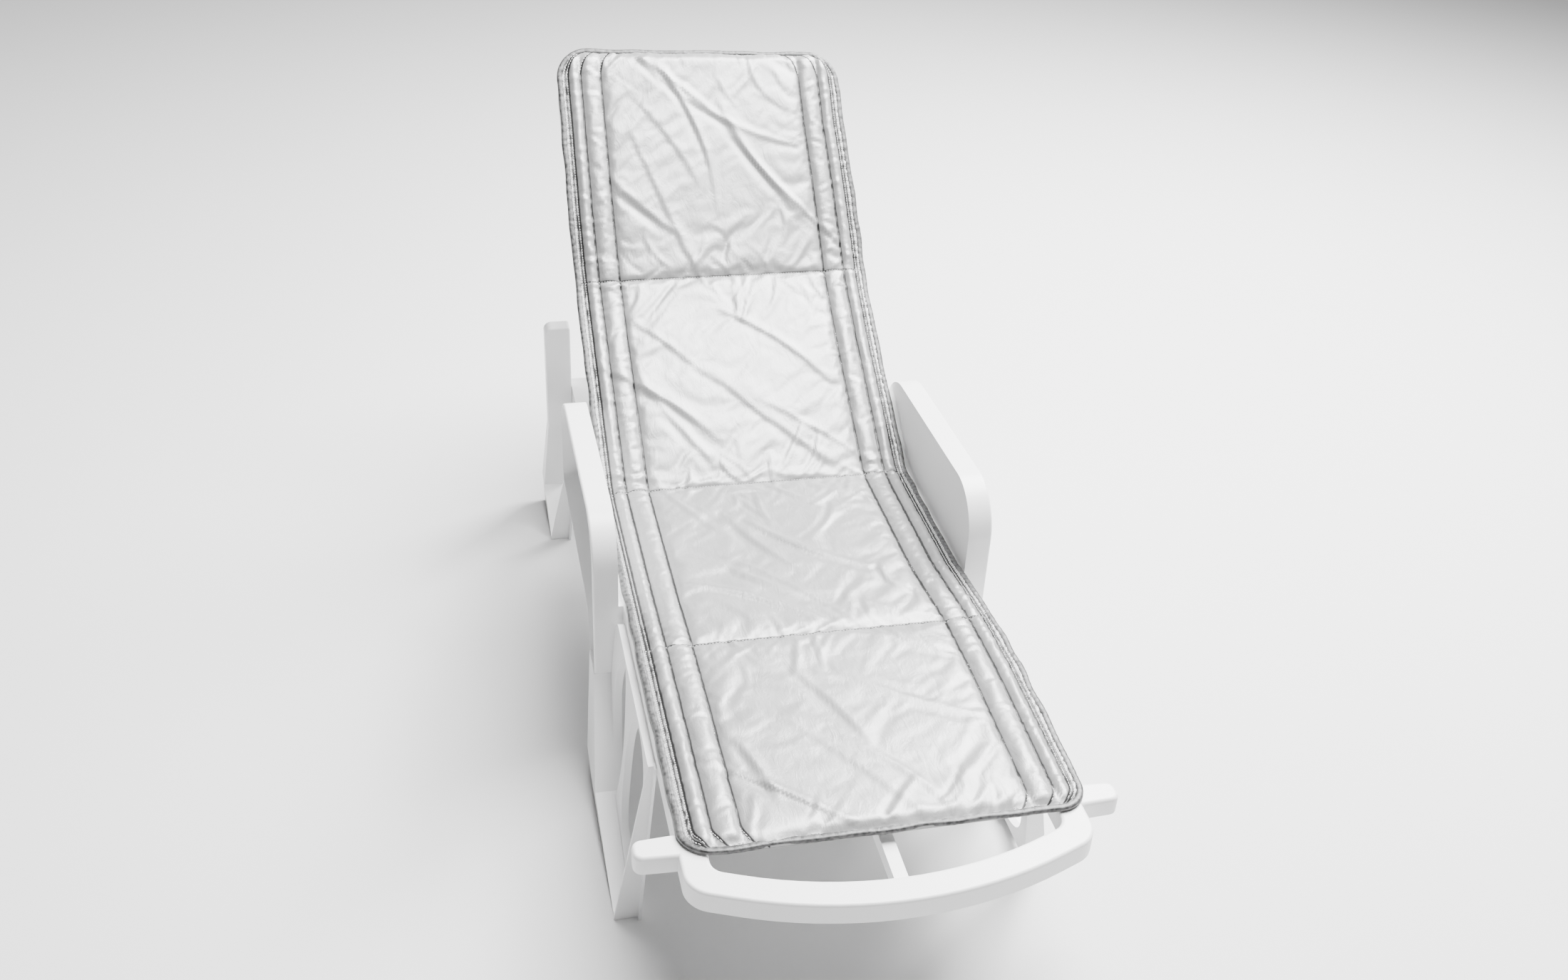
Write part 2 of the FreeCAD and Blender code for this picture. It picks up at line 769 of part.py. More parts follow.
def add_pair(nodes, name, shape):
    nodes[name + "_right"] = shape
    nodes[name + "_left"] = mirrored(shape)


def base_nodes():
    nodes = {
        "seat_frame": seat_frame(),
        "rear_cross_bar": rear_cross_bar(),
        "hinge_cross_bar": hinge_cross_bar(),
        "seat_spine": seat_spine(),
        "arm_screws": arm_screws(),
        "seat_pad": seat_pad(),
    }
    places = slat_plan(deck_start, seat_length - deck_to_hinge, seat_slats)
    for i, (start, width) in enumerate(places):
        nodes[f"seat_slat_{i + 1}"] = slat(start, width, rail_inner)
    leg = front_leg()
    add_pair(nodes, "rack", rack())
    add_pair(nodes, "hinge_pin", hinge_pin())
    add_pair(nodes, "arm", arm())
    foot = rear_foot()
    front_top = seat_height - rail_depth + strut_lap
    rear_top = tail_top - tail_depth + strut_lap
    add_pair(nodes, "front_leg", leg)
    add_pair(nodes, "front_strut", toe_strut(front_toe, front_top, leg))
    add_pair(nodes, "leg_brace", leg_brace(leg))
    add_pair(nodes, "rear_post", rear_post())
    add_pair(nodes, "rear_foot", foot)
    add_pair(nodes, "rear_strut", toe_strut(rear_toe, rear_top, foot))
    return nodes


def back_nodes():
    nodes = {
        "back_lower_bar": back_cross(hinge_drop + 2, 14.0, slat_depth + 8),
        "back_top_bar": back_top_bar(),
        "back_pad": back_pad(),
    }
    places = slat_plan(back_deck_start + slat_gap / 2, back_length - top_bar_width - slat_gap,
                       back_slats)
    for i, (start, width) in enumerate(places):
        nodes[f"back_slat_{i + 1}"] = back_slat(start, width)
    add_pair(nodes, "back_rail", back_rail())
    add_pair(nodes, "prop_pin", prop_pin())
    return {name: turned(shape, HINGE, back_angle) for name, shape in nodes.items()}


def prop_nodes():
    nodes = {"prop_bar": prop_bar()}
    add_pair(nodes, "prop_arm", prop_arm())
    pivot = at_angle(back_angle, prop_length, 0)
    return {name: turned(turned(shape, HINGE, back_angle), pivot, -2 * back_angle)
            for name, shape in nodes.items()}


def main():
    os.makedirs("parts", exist_ok=True)
    nodes = {**base_nodes(), **back_nodes(), **prop_nodes()}
    whole = Part.makeCompound(list(nodes.values())).BoundBox
    to_origin = V(0, -(whole.YMin + whole.YMax) / 2, 0)
    for name, shape in nodes.items():
        shape.translate(to_origin)
        shape.exportStep(f"parts/{name}.step")


main()
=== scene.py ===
import json
import math

import bpy
import numpy as np
from mathutils import Matrix, Vector


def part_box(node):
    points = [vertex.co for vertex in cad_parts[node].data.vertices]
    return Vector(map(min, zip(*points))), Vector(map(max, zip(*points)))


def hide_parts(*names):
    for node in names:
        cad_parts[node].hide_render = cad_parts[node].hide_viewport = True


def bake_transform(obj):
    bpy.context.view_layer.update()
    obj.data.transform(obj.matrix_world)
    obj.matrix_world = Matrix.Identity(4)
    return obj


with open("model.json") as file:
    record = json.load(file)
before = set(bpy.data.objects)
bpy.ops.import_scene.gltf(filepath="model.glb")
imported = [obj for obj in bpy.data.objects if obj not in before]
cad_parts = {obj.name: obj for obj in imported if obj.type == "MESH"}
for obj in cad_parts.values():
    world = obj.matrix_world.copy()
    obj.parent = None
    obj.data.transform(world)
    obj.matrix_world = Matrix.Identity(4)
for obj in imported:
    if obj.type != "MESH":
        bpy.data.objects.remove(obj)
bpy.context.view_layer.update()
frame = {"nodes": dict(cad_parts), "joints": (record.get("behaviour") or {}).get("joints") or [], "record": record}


SCENE = bpy.context.scene

# ---------------------------------------------------------------- places from the CAD
FRAME_LOW, FRAME_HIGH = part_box("seat_frame")
EAR_START = 0.131                       # front of the foot bar to the ears' front faces
FRONT_Y = FRAME_LOW.y
DECK_Z = FRAME_HIGH.z
RECLINE = [j for j in frame["joints"] if j["name"] == "recline"][0]
HINGE_Y, HINGE_Z = RECLINE["pos_m"][1], RECLINE["pos_m"][2]
BACK_ANGLE = -math.radians(RECLINE["range_deg"][0])
BACK_STRAIGHT = 0.410                   # hinge to where the backrest's rails bend
BACK_BEND = math.radians(13.0)
BACK_BEND_RADIUS = 0.500
BACK_LENGTH = 0.924                     # hinge to the head end, along the backrest
HINGE_DROP = DECK_Z - HINGE_Z

# ---------------------------------------------------------------- camera
CAMERA_YAW, CAMERA_PITCH, CAMERA_ROLL = 0.2457, 0.5647, -0.0543     # radians
CAMERA_PLACE = (-0.5416, FRONT_Y + EAR_START - 1.4753, 1.8642)
FOCAL_PIXELS, IMAGE_WIDTH, SENSOR = 2176.65, 2200.0, 36.0


def make_camera():
    """The camera fitted to the photo: lens, place and direction."""
    yaw, pitch, roll = CAMERA_YAW, CAMERA_PITCH, CAMERA_ROLL
    forward = Vector((math.sin(yaw) * math.cos(pitch),
                      math.cos(yaw) * math.cos(pitch), -math.sin(pitch)))
    level = Vector((math.cos(yaw), -math.sin(yaw), 0.0))
    down = forward.cross(level)
    right = math.cos(roll) * level + math.sin(roll) * down
    below = -math.sin(roll) * level + math.cos(roll) * down
    turn = Matrix((right, -below, -forward)).transposed().to_4x4()
    data = bpy.data.cameras.new("camera")
    data.sensor_width = SENSOR
    data.lens = FOCAL_PIXELS / IMAGE_WIDTH * SENSOR
    camera = bpy.data.objects.new("camera", data)
    camera.matrix_world = Matrix.Translation(CAMERA_PLACE) @ turn
    SCENE.collection.objects.link(camera)
    SCENE.camera = camera


make_camera()


# ---------------------------------------------------------------- materials

def new_material(name):
    """A new material with its node tree and its shader."""
    material = bpy.data.materials.new(name)
    material.use_nodes = True
    tree = material.node_tree
    shader = tree.nodes["Principled BSDF"]
    return material, tree, shader


def node(tree, kind, **values):
    """A new node; each value goes to the input of that name, or else to the setting."""
    made = tree.nodes.new(kind)
    for key, value in values.items():
        if key in made.inputs:
            made.inputs[key].default_value = value
        else:
            setattr(made, key, value)
    return made


def ramp(tree, source, stops):
    """Colour ramp over a grey value; stops are (place, grey)."""
    made = tree.nodes.new("ShaderNodeValToRGB")
    elements = made.color_ramp.elements
    while len(elements) < len(stops):
        elements.new(0.5)
    for element, (place, grey) in zip(elements, stops):
        element.position = place
        element.color = (grey, grey, grey, 1)
    tree.links.new(source, made.inputs["Fac"])
    return made.outputs["Color"]


def mix(tree, kind, factor, a, b):
    """Two colours mixed; each is a plain colour or a socket."""
    made = tree.nodes.new("ShaderNodeMix")
    made.data_type = "RGBA"
    made.blend_type = kind
    made.inputs[0].default_value = factor
    for place, value in ((6, a), (7, b)):
        if isinstance(value, (tuple, list)):
            made.inputs[place].default_value = value
        else:
            tree.links.new(value, made.inputs[place])
    return made.outputs[2]


def grey(value):
    return (value, value, value, 1)


def resin_material():
    """White moulded resin: satin gloss, a fine spark-eroded grain and faint flow marks."""
    material, tree, shader = new_material("resin_white")
    place = node(tree, "ShaderNodeTexCoord").outputs["Object"]
    flow = node(tree, "ShaderNodeTexNoise", Scale=3.2, Detail=3.0, Roughness=0.55)
    tree.links.new(place, flow.inputs["Vector"])
    colour = mix(tree, "MULTIPLY", 1.0, grey(0.93),
                 ramp(tree, flow.outputs["Fac"], ((0.3, 0.965), (0.7, 1.0))))
    tree.links.new(colour, shader.inputs["Base Color"])
    cloud = node(tree, "ShaderNodeTexNoise", Scale=14.0, Detail=4.0, Roughness=0.6)
    tree.links.new(place, cloud.inputs["Vector"])
    rough = node(tree, "ShaderNodeMapRange")
    rough.inputs["To Min"].default_value = 0.33
    rough.inputs["To Max"].default_value = 0.46
    tree.links.new(cloud.outputs["Fac"], rough.inputs["Value"])
    tree.links.new(rough.outputs["Result"], shader.inputs["Roughness"])
    grain = node(tree, "ShaderNodeTexVoronoi", Scale=900.0)
    tree.links.new(place, grain.inputs["Vector"])
    wave = node(tree, "ShaderNodeTexNoise", Scale=9.0, Detail=2.0, Roughness=0.5)
    tree.links.new(place, wave.inputs["Vector"])
    broad = node(tree, "ShaderNodeBump", Strength=0.25, Distance=0.0012)
    tree.links.new(wave.outputs["Fac"], broad.inputs["Height"])
    fine = node(tree, "ShaderNodeBump", Strength=0.12, Distance=0.0002)
    tree.links.new(grain.outputs["Distance"], fine.inputs["Height"])
    tree.links.new(broad.outputs["Normal"], fine.inputs["Normal"])
    tree.links.new(fine.outputs["Normal"], shader.inputs["Normal"])
    shader.inputs["IOR"].default_value = 1.5
    shader.inputs["Subsurface Weight"].default_value = 0.06
    shader.inputs["Subsurface Radius"].default_value = (0.006, 0.006, 0.006)
    shader.inputs["Coat Weight"].default_value = 0.15
    shader.inputs["Coat Roughness"].default_value = 0.25
    return material


def steel_material():
    """Brushed steel of the pins and screws: fine lines along one direction."""
    material, tree, shader = new_material("steel_brushed")
    place = node(tree, "ShaderNodeTexCoord").outputs["Object"]
    stretch = node(tree, "ShaderNodeMapping", Scale=(1.0, 30.0, 30.0))
    tree.links.new(place, stretch.inputs["Vector"])
    lines = node(tree, "ShaderNodeTexNoise", Scale=60.0, Detail=5.0)
    tree.links.new(stretch.outputs["Vector"], lines.inputs["Vector"])
    tree.links.new(ramp(tree, lines.outputs["Fac"], ((0.3, 0.45), (0.7, 0.62))),
                   shader.inputs["Base Color"])
    bump = node(tree, "ShaderNodeBump", Strength=0.2, Distance=0.0002)
    tree.links.new(lines.outputs["Fac"], bump.inputs["Height"])
    tree.links.new(bump.outputs["Normal"], shader.inputs["Normal"])
    shader.inputs["Metallic"].default_value = 1.0
    shader.inputs["Roughness"].default_value = 0.32
    return material


# ---------------------------------------------------------------- the pad's route
PAD_START = 0.122                       # foot bar front to the pad's foot edge
PAD_OVERHANG = 0.014                    # past the head end of the backrest
PAD_HALF = 0.288                        # half the pad's width
CREASE_RADIUS = 0.110                   # how gently the pad turns up at the hinge


def route_pieces():
    """Runs and arcs of the pad's underside in the YZ plane: (length, turn)."""
    reach = CREASE_RADIUS * math.tan(BACK_ANGLE / 2)
    meet_y = HINGE_Y - HINGE_DROP * math.tan(BACK_ANGLE / 2)
    first = meet_y - reach - (FRONT_Y + PAD_START)
    second = BACK_STRAIGHT - (HINGE_DROP * math.tan(BACK_ANGLE / 2) + reach)
    bend = BACK_BEND * BACK_BEND_RADIUS
    last = BACK_LENGTH + PAD_OVERHANG - BACK_STRAIGHT - bend
    return [(first, 0.0), (CREASE_RADIUS * BACK_ANGLE, BACK_ANGLE), (second, 0.0),
            (bend, BACK_BEND), (last, 0.0)]


PIECES = route_pieces()
PAD_LENGTH = sum(length for length, _ in PIECES)


def route(s):
    """Place (y, z) and heading of the pad's underside at each distance s.

    Before the foot edge and past the head edge the first and last run go straight on."""
    s = np.asarray(s, float)
    y = np.full(s.shape, FRONT_Y + PAD_START)
    z = np.full(s.shape, DECK_Z)
    angle = np.zeros(s.shape)
    done = 0.0
    heading = 0.0
    last = len(PIECES) - 1
    for number, (length, turn) in enumerate(PIECES):
        part = np.clip(s - done, 0.0, length)
        if number == 0:
            part = np.where(s < 0, s, part)
        if number == last:
            part = np.where(s > done + length, s - done, part)
        if turn:
            radius = length / turn
            y += radius * (np.sin(heading + part / radius) - math.sin(heading))
            z += radius * (math.cos(heading) - np.cos(heading + part / radius))
            angle += part / radius
        else:
            y += part * math.cos(heading)
            z += part * math.sin(heading)
        heading += turn
        done += length
    return y, z, angle


# How the loose pad lies: (distance from the foot edge, distance from the centre plane)
# along each long edge. It bulges over the right rail in front of the arm.
EDGE_RIGHT = ((0.00, 0.298), (0.10, 0.301), (0.20, 0.304), (0.32, 0.307), (0.44, 0.305),
              (0.53, 0.297), (0.60, 0.291), (0.80, 0.289), (1.05, 0.287), (1.18, 0.2855),
              (1.30, 0.2865), (1.42, 0.2885), (1.52, 0.288), (1.60, 0.2865), (1.67, 0.284),
              (1.75, 0.285), (1.84, 0.284))
EDGE_LEFT = ((0.00, 0.286), (0.60, 0.287), (1.00, 0.288), (1.30, 0.2885), (1.50, 0.2885),
             (1.66, 0.286), (1.84, 0.284))
HEAD_SKEW_RUN = 0.42                    # stretch over which the head end is pulled askew
HEAD_SKEW_LEFT, HEAD_SKEW_RIGHT = 0.014, -0.006     # how far each head corner is pulled


def laid(x, s):
    """Place of a point of the flat pad once it lies a little crooked on the lounger."""
    right = np.interp(s, *zip(*EDGE_RIGHT))
    left = np.interp(s, *zip(*EDGE_LEFT))
    share = (x / PAD_HALF + 1) / 2
    pull = np.clip((s - (PAD_LENGTH - HEAD_SKEW_RUN)) / HEAD_SKEW_RUN, 0, 1) ** 2
    skew = HEAD_SKEW_LEFT + (HEAD_SKEW_RIGHT - HEAD_SKEW_LEFT) * share
    return -left + (left + right) * share, s + pull * skew


def wrapped(flat):
    """Points (across, along, height) laid over the route."""
    x, s = laid(flat[:, 0], flat[:, 1])
    y, z, angle = route(s)
    return np.stack([x, y - flat[:, 2] * np.sin(angle), z + flat[:, 2] * np.cos(angle)],
                    axis=1)


# ---------------------------------------------------------------- the pad
STITCH_LINES = (0.203, 0.243, 0.268, 0.2735)    # centre plane to each lengthwise seam
CHANNELS = ((0.203, 0.243), (0.243, 0.268))     # the stuffed strips between them
CROSS_SEAMS = (0.440, 0.897, 1.352)     # from the foot edge to each fold line
FOOT_CORNER, HEAD_CORNER = 0.045, 0.062     # corner radii
CELL = 0.0050                           # side of a cell of the pad's mesh
SEAM_SIDE = 0.0028                      # from a seam to the mesh lines beside it
LOFT = 0.0145                           # filled height away from seams
EDGE_HEIGHT = 0.0055                    # height at the bound edge
EDGE_RISE = 0.024                       # from the edge to the full height
CHANNEL_CROWN = 0.0032                  # extra height in the middle of a channel
LOWEST_COVER = 0.0035                   # the top of the pad is nowhere below this
PAD_CLEAR = 0.0006                      # between the pad's underside and the frame
GROWTH = 0.009                          # spare cloth, as a share of its length
CAP = 0.006                             # furthest a point of the cover may move
HELD, LOOSE = 1.0, 0.06                 # hold on seams and edge, and elsewhere
HELD_EDGE = 0.004                       # width of the held strip at the edge
SIM_FRAMES = 18
RNG = np.random.default_rng(285)

# Dips at the seams as (share of the loft lost, distance over which it is lost).
LINE_DIPS = ((0.34, 0.008), (0.30, 0.0022))
CROSS_DIPS = ((0.30, 0.012), (0.25, 0.0024))
CROSS_PAINTED_SHADE = 0.9                        # strength of the painted shade at a cross seam; a lengthwise one has 1

# Gathers beside the bound edge: outside the last seam, as a sum of waves along the edge.
GATHER_PLACE, GATHER_WIDTH, GATHER_HEIGHT = 0.004, 0.006, 0.00022
GATHER_WAVES, GATHER_PITCH = 26, (0.006, 0.022)

# Folds of the cover. Per panel from the foot: lean of its long folds in degrees, and count.
PANEL_FOLDS = ((122, 6), (128, 6), (132, 7), (130, 8))
PANEL_CREASES = 34                      # short creases gathered at a panel's two ends
SEAM_GATHERS = 12                       # creases of a channel at each cross seam
CHANNEL_PUCKERS = 64                    # creases of a channel over its length

# Section of a fold, in widths: its steep and its gentle side, and the trough beside it.
STEEP_SIDE, GENTLE_SIDE = 0.55, 1.5
TROUGH_DEPTH, TROUGH_PLACE, TROUGH_WIDTH = 0.45, 1.9, 1.3     # depth in fold heights


def with_seams(low, high, seams):
    """Evenly spaced values from low to high, with closer ones on and beside each seam."""
    near = sorted(seam + side for seam in seams for side in (-SEAM_SIDE, 0.0, SEAM_SIDE))
    marks = [low] + near + [high]
    values = []
    for a, b in zip(marks, marks[1:]):
        count = max(int(round((b - a) / CELL)), 1)
        values += [a + (b - a) * i / count for i in range(count)]
    return np.array(values + [high])


def grid_lines():
    """Places of the mesh lines across and along the flat pad."""
    seams = [side * line for line in STITCH_LINES for side in (-1, 1)]
    return (with_seams(-PAD_HALF, PAD_HALF, seams),
            with_seams(0.0, PAD_LENGTH, CROSS_SEAMS))


def half_width(s):
    """Half width of the pad at distance s, drawn in at its rounded corners."""
    corner = np.where(s < PAD_LENGTH / 2, FOOT_CORNER, HEAD_CORNER)
    near = np.minimum(s, PAD_LENGTH - s)
    inside = np.clip(corner - near, 0, corner)
    return PAD_HALF - (corner - np.sqrt(corner ** 2 - inside ** 2))


def smooth(t):
    """Zero to one with level ends."""
    t = np.clip(t, 0, 1)
    return t * t * (3 - 2 * t)


def edge_distance(x, s):
    """Distance of a point of the flat pad from its edge."""
    side = half_width(s) - np.abs(x)
    return np.minimum(side, np.minimum(s, PAD_LENGTH - s))


def seam_dip(x, s):
    """Share of the loft that is left near a seam."""
    left = np.ones(x.shape)
    (broad_loss, broad), (sharp_loss, sharp) = LINE_DIPS
    for line in STITCH_LINES:
        apart = np.abs(np.abs(x) - line)
        left *= (1 - broad_loss * np.exp(-(apart / broad) ** 2)
                 - sharp_loss * np.exp(-(apart / sharp) ** 2))
    (broad_loss, broad), (sharp_loss, sharp) = CROSS_DIPS
    for line in CROSS_SEAMS:
        uneven = 1 + 0.5 * np.sin(np.abs(x) * 31 + line * 9)
        left *= 1 - broad_loss * np.exp(-((s - line) / (broad * uneven)) ** 2)
        left *= 1 - sharp_loss * np.exp(-((s - line) / sharp) ** 2)
    return left


def seam_painted_shade(x, s):
    """Painted shade: one on a seam, falling to nothing beside it, where the cloth lies in shade."""
    tone = np.zeros(x.shape)
    for line in STITCH_LINES:
        tone = np.maximum(tone, 1 - np.abs(np.abs(x) - line) / SEAM_SIDE)
    for line in CROSS_SEAMS:
        tone = np.maximum(tone, CROSS_PAINTED_SHADE * (1 - np.abs(s - line) / SEAM_SIDE))
    return np.clip(tone, 0, 1)


def ridges(x, s, places):
    """Height of the folds, each steeper on one side and with a trough beside it.

    A place is (across, along, angle, length, width, height, bow) in the flat pad."""
    height = np.zeros(x.shape)
    for cx, cs, angle, length, width, lift, bow in places:
        along = (x - cx) * math.cos(angle) + (s - cs) * math.sin(angle)
        across = -(x - cx) * math.sin(angle) + (s - cs) * math.cos(angle)
        across = across + bow * along ** 2
        slope = np.where(across > 0, width * STEEP_SIDE, width * GENTLE_SIDE)
        fade = np.exp(-(along / length) ** 4)
        height += lift * fade * np.exp(-(across / slope) ** 2)
        beside = (across - TROUGH_PLACE * width) / (TROUGH_WIDTH * width)
        height -= TROUGH_DEPTH * lift * fade * np.exp(-beside ** 2)
    return height


def fold(x, s, angle, length, width, lift, bow):
    """One fold at a place; the last four are drawn from ranges, in this order."""
    return (x, s, angle, RNG.uniform(*length), RNG.uniform(*width), RNG.uniform(*lift),
            RNG.uniform(-bow, bow))


def panel_folds(start, end, lean, count):
    """A few long folds that lean across a panel, and short creases at its two ends."""
    places = []
    for _ in range(count):
        x, s = RNG.uniform(-0.17, 0.17), RNG.uniform(start + 0.05, end - 0.05)
        places.append(fold(x, s, lean + RNG.normal(0, 0.16), length=(0.06, 0.16),
                           width=(0.0045, 0.0085), lift=(0.0012, 0.0034), bow=1.4))
    for _ in range(PANEL_CREASES):
        at_start = RNG.random() < 0.5
        inward = abs(RNG.normal(0, 0.05))
        s = start + inward if at_start else end - inward
        x = RNG.uniform(-0.19, 0.19)
        places.append(fold(x, s, math.radians(90) + RNG.normal(0, 0.55), length=(0.015, 0.05),
                           width=(0.0028, 0.005), lift=(0.0006, 0.0020), bow=5))
    return places


def channel_folds(side, low, high):
    """Creases across a channel: gathered at the cross seams, and loose ones between."""
    places = []
    for seam in CROSS_SEAMS:
        for _ in range(SEAM_GATHERS):
            x, s = side * RNG.uniform(low, high), seam + RNG.normal(0, 0.030)
            places.append(fold(x, s, RNG.normal(0, 0.45), length=(0.012, 0.024),
                               width=(0.0025, 0.0042), lift=(0.0008, 0.0024), bow=8))
    for _ in range(CHANNEL_PUCKERS):
        x, s = side * RNG.uniform(low, high), RNG.uniform(0.02, PAD_LENGTH)
        places.append(fold(x, s, RNG.normal(0, 0.5), length=(0.010, 0.020),
                           width=(0.0026, 0.0045), lift=(0.0005, 0.0017), bow=8))
    return places


def fold_places():
    """Where the folds of the cover lie, by panel and then by channel."""
    places = []
    starts = (0.0,) + CROSS_SEAMS
    ends = CROSS_SEAMS + (PAD_LENGTH,)
    for start, end, (lean, count) in zip(starts, ends, PANEL_FOLDS):
        places += panel_folds(start, end, math.radians(lean), count)
    for side in (-1, 1):
        for low, high in CHANNELS:
            places += channel_folds(side, low, high)
    return places


def crinkle(x, s):
    """Fine gathers of the cover next to the bound edge."""
    near = np.exp(-((np.abs(x) - STITCH_LINES[-1] - GATHER_PLACE) / GATHER_WIDTH) ** 2)
    wave = np.zeros(x.shape)
    for _ in range(GATHER_WAVES):
        pitch = RNG.uniform(*GATHER_PITCH)
        wave += np.sin(2 * math.pi * s / pitch + RNG.uniform(0, 6.28) + x * RNG.uniform(-300, 300))
    return near * wave * GATHER_HEIGHT


def cover_height(x, s):
    """Height of the pad's top before the cloth settles."""
    rise = smooth(edge_distance(x, s) / EDGE_RISE)
    loft = EDGE_HEIGHT + (LOFT - EDGE_HEIGHT) * rise * seam_dip(x, s)
    channel = np.zeros(x.shape)
    for low, high in CHANNELS:
        t = np.clip((np.abs(x) - low) / (high - low), 0, 1)
        channel += CHANNEL_CROWN * np.sin(math.pi * t)
    folds = ridges(x, s, fold_places())
    return loft + (channel + folds) * rise + crinkle(x, s)


def relax(obj, pins):
    """Lets the spare cloth of the cover settle between its seams; gives the new points."""
    group = obj.vertex_groups.new(name="hold")
    for level in np.unique(pins):
        members = np.nonzero(pins == level)[0].tolist()
        group.add(members, float(level), "REPLACE")
    cloth = obj.modifiers.new("cloth", "CLOTH")
    settings = cloth.settings
    settings.quality = 4
    settings.mass = 0.25
    settings.tension_stiffness = 18
    settings.compression_stiffness = 18
    settings.shear_stiffness = 9
    settings.bending_stiffness = 0.2
    settings.air_damping = 4
    settings.shrink_min = -GROWTH
    settings.vertex_group_mass = "hold"
    settings.pin_stiffness = 1.0
    settings.effector_weights.gravity = 0.0
    settings.use_pressure = True
    settings.uniform_pressure_force = 0.5
    cloth.collision_settings.use_collision = False
    cloth.point_cache.frame_start = 1
    cloth.point_cache.frame_end = SIM_FRAMES
    for step in range(1, SIM_FRAMES + 1):
        SCENE.frame_set(step)
    evaluated = obj.evaluated_get(bpy.context.evaluated_depsgraph_get())
    moved = np.zeros(len(obj.data.vertices) * 3, np.float32)
    evaluated.data.vertices.foreach_get("co", moved)
    obj.modifiers.remove(cloth)
    obj.vertex_groups.clear()
    SCENE.frame_set(1)
    return moved.reshape(-1, 3).astype(float)


def mesh_object(name, points, faces, material=None):
    """A smooth-shaded object in the scene from points and faces."""
    mesh = bpy.data.meshes.new(name)
    mesh.from_pydata([tuple(p) for p in points], [], faces)
    mesh.update()
    obj = bpy.data.objects.new(name, mesh)
    SCENE.collection.objects.link(obj)
    if material:
        mesh.materials.append(material)
    mesh.polygons.foreach_set("use_smooth", [True] * len(mesh.polygons))
    return obj


def grid_faces(rows, columns, offset=0, flip=False):
    """Quads of a grid of points that starts at offset."""
    index = np.arange(rows * columns).reshape(rows, columns) + offset
    quads = np.stack([index[:-1, :-1], index[:-1, 1:], index[1:, 1:], index[1:, :-1]], axis=-1)
    quads = quads.reshape(-1, 4)
    return (quads[:, ::-1] if flip else quads).tolist()


def capped(start, moved):
    """Moves each point no further than CAP, more gently the nearer it is to that."""
    step = moved - start
    size = np.linalg.norm(step, axis=1, keepdims=True)
    limited = CAP * np.tanh(size / CAP)
    return start + step * np.where(size > 1e-9, limited / np.maximum(size, 1e-9), 0)


def build_pad(material):
    """The closed pad; also its flat top as a grid of points, and the grid's lines."""
    xs, ss = grid_lines()
    rows, columns = len(ss), len(xs)
    grid_s = np.repeat(ss, columns)
    grid_x = np.tile(xs, rows) * half_width(grid_s) / PAD_HALF
    height = cover_height(grid_x, grid_s)
    top = np.stack([grid_x, grid_s, height], axis=1)
    faces = grid_faces(rows, columns)
    sheet = mesh_object("cover_work", top, faces)
    on_line = np.zeros(len(top), bool)
    for line in STITCH_LINES:
        on_line |= np.abs(np.abs(np.tile(xs, rows)) - line) < SEAM_SIDE / 2
    for line in CROSS_SEAMS:
        on_line |= np.abs(grid_s - line) < SEAM_SIDE / 2
    edge = edge_distance(grid_x, grid_s) < HELD_EDGE
    pins = np.where(on_line | edge, HELD, LOOSE)
    top = capped(top, relax(sheet, pins))
    bpy.data.objects.remove(sheet)
    top[:, 2] = np.maximum(top[:, 2], LOWEST_COVER)
    under = np.stack([grid_x, grid_s, np.full(len(top), PAD_CLEAR)], axis=1)
    flat = np.concatenate([top, under])
    faces += grid_faces(rows, columns, len(top), flip=True)
    rim = ([(0, j) for j in range(columns)] + [(i, columns - 1) for i in range(1, rows)]
           + [(rows - 1, j) for j in range(columns - 2, -1, -1)]
           + [(i, 0) for i in range(rows - 2, 0, -1)])
    ring = [i * columns + j for i, j in rim]
    for a, b in zip(ring, ring[1:] + ring[:1]):
        faces.append([a, a + len(top), b + len(top), b])
    pad = mesh_object("pad_cover", wrapped(flat), faces, material)
    # painted shade along the seams, stored per point to darken the cloth's colour
    shade = pad.data.attributes.new("seam_shade", "FLOAT", "POINT")
    tone = seam_painted_shade(np.tile(xs, rows), grid_s)
    shade.data.foreach_set("value", np.concatenate([tone, np.zeros(len(top))]).astype(np.float32))
    return pad, top.reshape(rows, columns, 3), xs, ss


# ---------------------------------------------------------------- bound edge and stitching
TAPE_WIDTH = 0.0115
TAPE_HEIGHT = 0.0080
TAPE_OVER_EDGE = 0.0015                 # the tape stands this far past the pad's edge
TAPE_STEP, TAPE_SIDES = 0.0022, 14      # spacing and corners of the tape's sections
TAPE_PUCKER, TAPE_PUCKER_SIDE = 0.11, 0.05      # swelling in height and in width
TAPE_SWAY = 0.0004                      # slow wander of the tape to the side
STITCH_PITCH = 0.0052
STITCH_LENGTH = 0.0036
STITCH_END = 0.012                      # seams stop this far from the edge
THREAD = 0.00050                        # radius
THREAD_ASIDE = 0.0018                   # thread beside the crease, not in it
THREAD_LIFT = 0.0006
THREAD_SUNK = 0.0009                    # how deep the stitches lie in the tape


